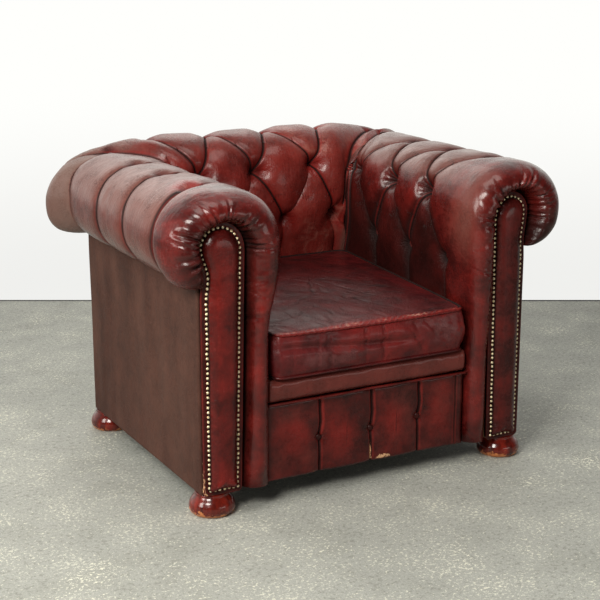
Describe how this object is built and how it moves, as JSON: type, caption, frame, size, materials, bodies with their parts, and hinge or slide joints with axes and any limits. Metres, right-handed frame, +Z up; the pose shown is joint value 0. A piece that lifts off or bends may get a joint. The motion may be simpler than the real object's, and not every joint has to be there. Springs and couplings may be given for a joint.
{
  "type": "club chair",
  "caption": "Low-backed club armchair with rolled arms, deep-buttoned worn leather, nailed front facings, a loose seat cushion and turned bun feet.",
  "frame": {"origin": "on the floor, under the middle of the chair's box", "axes": "+X to the right arm seen from the front, -Y out of the front, +Z up"},
  "size_m": [1.044, 0.793, 0.752],
  "materials": {
    "oxblood_leather": "antiqued oxblood leather, semi-gloss, worn and creased",
    "seat_leather": "faded oxblood leather, creased and scuffed",
    "panel_leather": "smooth dark brown-red leather, dull",
    "button_leather": "leather-covered button",
    "stuffing": "wadding and hair stuffing",
    "cushion_foam": "upholstery foam",
    "beech": "plain sawn beech",
    "mahogany": "polished dark mahogany, worn at the base",
    "dust_cloth": "black woven lining",
    "spring_steel": "drawn spring wire",
    "antique_brass": "aged brass nail heads"
  },
  "bodies": {
    "root": {"arm_cover_left": "oxblood_leather", "arm_cover_right": "oxblood_leather", "arm_pad_left": "stuffing", "arm_pad_right": "stuffing", "arm_rail_left": "beech", "arm_rail_right": "beech", "back_cover": "oxblood_leather", "back_pad": "stuffing", "back_post_left": "beech", "back_post_right": "beech", "back_top_rail": "beech", "button_apron_1": "button_leather", "button_apron_2": "button_leather", "button_apron_3": "button_leather", "button_arm_left_lower_1": "button_leather", "button_arm_left_lower_2": "button_leather", "button_arm_left_lower_3": "button_leather", "button_arm_left_upper_1": "button_leather", "button_arm_left_upper_2": "button_leather", "button_arm_left_upper_3": "button_leather", "button_arm_right_lower_1": "button_leather", "button_arm_right_lower_2": "button_leather", "button_arm_right_lower_3": "button_leather", "button_arm_right_upper_1": "button_leather", "button_arm_right_upper_2": "button_leather", "button_arm_right_upper_3": "button_leather", "button_back_lower_1": "button_leather", "button_back_lower_2": "button_leather", "button_back_lower_3": "button_leather", "button_back_lower_4": "button_leather", "button_back_upper_1": "button_leather", "button_back_upper_2": "button_leather", "button_back_upper_3": "button_leather", "cushion_core": "cushion_foam", "cushion_cover": "seat_leather", "dust_cover": "dust_cloth", "facing_left": "oxblood_leather", "facing_right": "oxblood_leather", "foot_back_left": "mahogany", "foot_back_right": "mahogany", "foot_front_left": "mahogany", "foot_front_right": "mahogany", "front_apron": "oxblood_leather", "front_board_left": "beech", "front_board_right": "beech", "front_lip": "oxblood_leather", "nail_band_left": "antique_brass", "nail_band_right": "antique_brass", "outside_arm_left": "panel_leather", "outside_arm_right": "panel_leather", "outside_back": "panel_leather", "seat_platform": "dust_cloth", "seat_rail_back": "beech", "seat_rail_front": "beech", "seat_rail_left": "beech", "seat_rail_right": "beech", "seat_spring_1": "spring_steel", "seat_spring_2": "spring_steel", "seat_spring_3": "spring_steel", "seat_spring_4": "spring_steel"}
  },
  "joints": []
}
